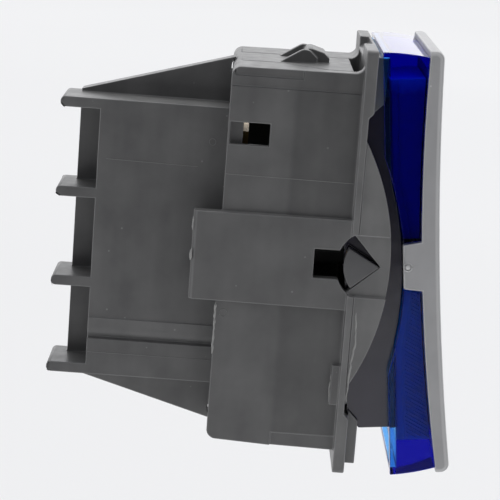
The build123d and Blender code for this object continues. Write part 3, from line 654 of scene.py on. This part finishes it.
HOOK_THICKNESS = 2.9          # from the casing's rear edge to the straps' ends
BLOCK_HALF_WIDTH = 6.0
FIN_LENGTH = 4.2
CASING_INSET = 0.8            # of a face from the housing's widest place
STRAP_INSET = 0.2
CHEEK_INSET = 0.1

MARK_HEIGHT = 0.04            # of a parting line
RING_HEIGHT = 0.05
RING_WIDTH = 0.09
RING_SIDES = 20
BEAD_STEP = 0.35
BEAD_SIDES = 6
BEAD_WANDER = 0.3             # of its size, to either side
BEAD_TAPER = 0.15             # of its size, at its ends


def lug_pips():
    """The small domes on the key's side lugs, glossy and painted paler than the key as a painted highlight."""
    place_y = joint("rocker_pivot")["pos_m"][1] / MM - PIP_OFFSET
    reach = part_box("key_cover")[1][0] / MM - PIP_HEIGHT
    pips = bmesh.new()
    for side in (-1, 1):
        shape = Matrix.Translation((side * reach, place_y, 0)) @ Matrix.Diagonal((*PIP_RADII, 1))
        bmesh.ops.create_icosphere(pips, subdivisions=3, radius=1, matrix=shape)
    for face in pips.faces:
        face.smooth = True
    keep(pips, "lug_pips", "rocker", PIP_HIGHLIGHT_PAINT, rocker_level().inverted())


def bead(bm, x, places, size):
    """A rough line of flash along places given as (y, z), with a thickness that comes and goes."""
    points = []
    for (y0, z0), (y1, z1) in zip(places, places[1:]):
        steps = max(1, round(math.hypot(y1 - y0, z1 - z0) / BEAD_STEP))
        points += [(y0 + (y1 - y0) * i / steps, z0 + (z1 - z0) * i / steps) for i in range(steps)]
    points.append(places[-1])
    points = [Vector((x, y + CHANCE.uniform(-BEAD_WANDER, BEAD_WANDER) * size, z)) for y, z in points]
    last = len(points) - 1
    rings = []
    for i, point in enumerate(points):
        along = (points[min(i + 1, last)] - points[max(i - 1, 0)]).normalized()
        across = along.cross(Vector((1, 0, 0)))
        radius = size * (BEAD_TAPER if i in (0, last) else CHANCE.uniform(0.45, 1.0))
        ring = []
        for k in range(BEAD_SIDES):
            angle = k * math.tau / BEAD_SIDES
            spoke = Vector((math.cos(angle), 0, 0)) + math.sin(angle) * across
            ring.append(bm.verts.new(point + radius * spoke))
        rings.append(ring)
    skin(bm, rings)


def ring_mark(bm, x, y, z, radius):
    """A thin ring left by an ejector pin."""
    x0 = x - math.copysign(SINK, x)
    x1 = x + math.copysign(RING_HEIGHT, x)
    rings = []
    for k in range(RING_SIDES):
        angle = k * math.tau / RING_SIDES
        corners = roof(x0, x1, 0, radius, RING_WIDTH, "z")
        rings.append([bm.verts.new((level, y + reach * math.cos(angle), z + reach * math.sin(angle)))
                      for level, _, reach in corners])
    skin(bm, rings, closed=True)


def housing_traces():
    """Parting lines and ejector marks on the housing and terminal block, and flash on the housing."""
    high = Vector(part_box("front_housing")[1]) / MM
    block_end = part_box("terminal_block")[1][1] / MM - FIN_LENGTH
    casing = high.x - CASING_INSET
    strap = high.x - STRAP_INSET
    rear = high.y - HOOK_THICKNESS

    lines = bmesh.new()
    for side in (-1, 1):
        ridge(lines, side * casing, MARK_HEIGHT, (0.2, 8.5), (rear - 0.1, 8.6), 0.10)
        ring_mark(lines, side * casing, rear - 0.9, -6.1, 0.36)
    for start, end in (((rear + 2.9, 8.4), (block_end - 0.9, 8.55)),
                       ((rear + 0.3, -12.5), (block_end - 0.1, -12.5))):
        ridge(lines, -BLOCK_HALF_WIDTH, MARK_HEIGHT, start, end, 0.09)
    ring_mark(lines, -BLOCK_HALF_WIDTH, rear + 1.5, 11.2, 0.30)
    keep(lines, "parting_lines", "housing", LINE_PAINT)

    rear_edge = [(rear, -5.0), (rear, -10.6)]
    tongue_slot = [(0.8, -10.9), (0.85, -12.6), (0.98, -13.4), (0.8, -15.2)]
    strap_lower = [(high.y, 0.7), (high.y, -0.6)]
    strap_upper = [(high.y, 4.1), (high.y, 2.6)]
    cheek = [(-1.15, -4.9), (-1.3, -8.2), (-1.05, -10.0), (-0.95, -11.8), (-0.82, -14.8)]
    flash = bmesh.new()
    bead(flash, -casing, rear_edge, 0.17)
    bead(flash, -casing, tongue_slot, 0.17)
    bead(flash, -strap, strap_lower, 0.2)
    bead(flash, -strap, strap_upper, 0.12)
    bead(flash, -(high.x - CHEEK_INSET), cheek, 0.14)
    keep(flash, "mould_flash", "housing", FLASH_PAINT)


# ---------------------------------------------------------------- making

add_camera()
add_floor()
add_world()
add_sun()

for row in frame["record"]["subparts"]:
    materials = frame["nodes"][row["node"]].data.materials
    materials.clear()
    materials.append(PAINTS[row["material_slot"]])

rounded("front_housing", "housing", "housing_grey")
rounded("terminal_block", "housing", "housing_grey", 0.1, merged=False)
rounded("rocker_carrier", "rocker", "carrier_dark")
rounded("light_lens", "rocker", "lens_blue", 0.1)
rounded("key_cover", "rocker", "key_silver", 0.15, 3)

sprung("plunger_spring", "rocker", "spring_steel")
light_guides()
lug_pips()
housing_traces()
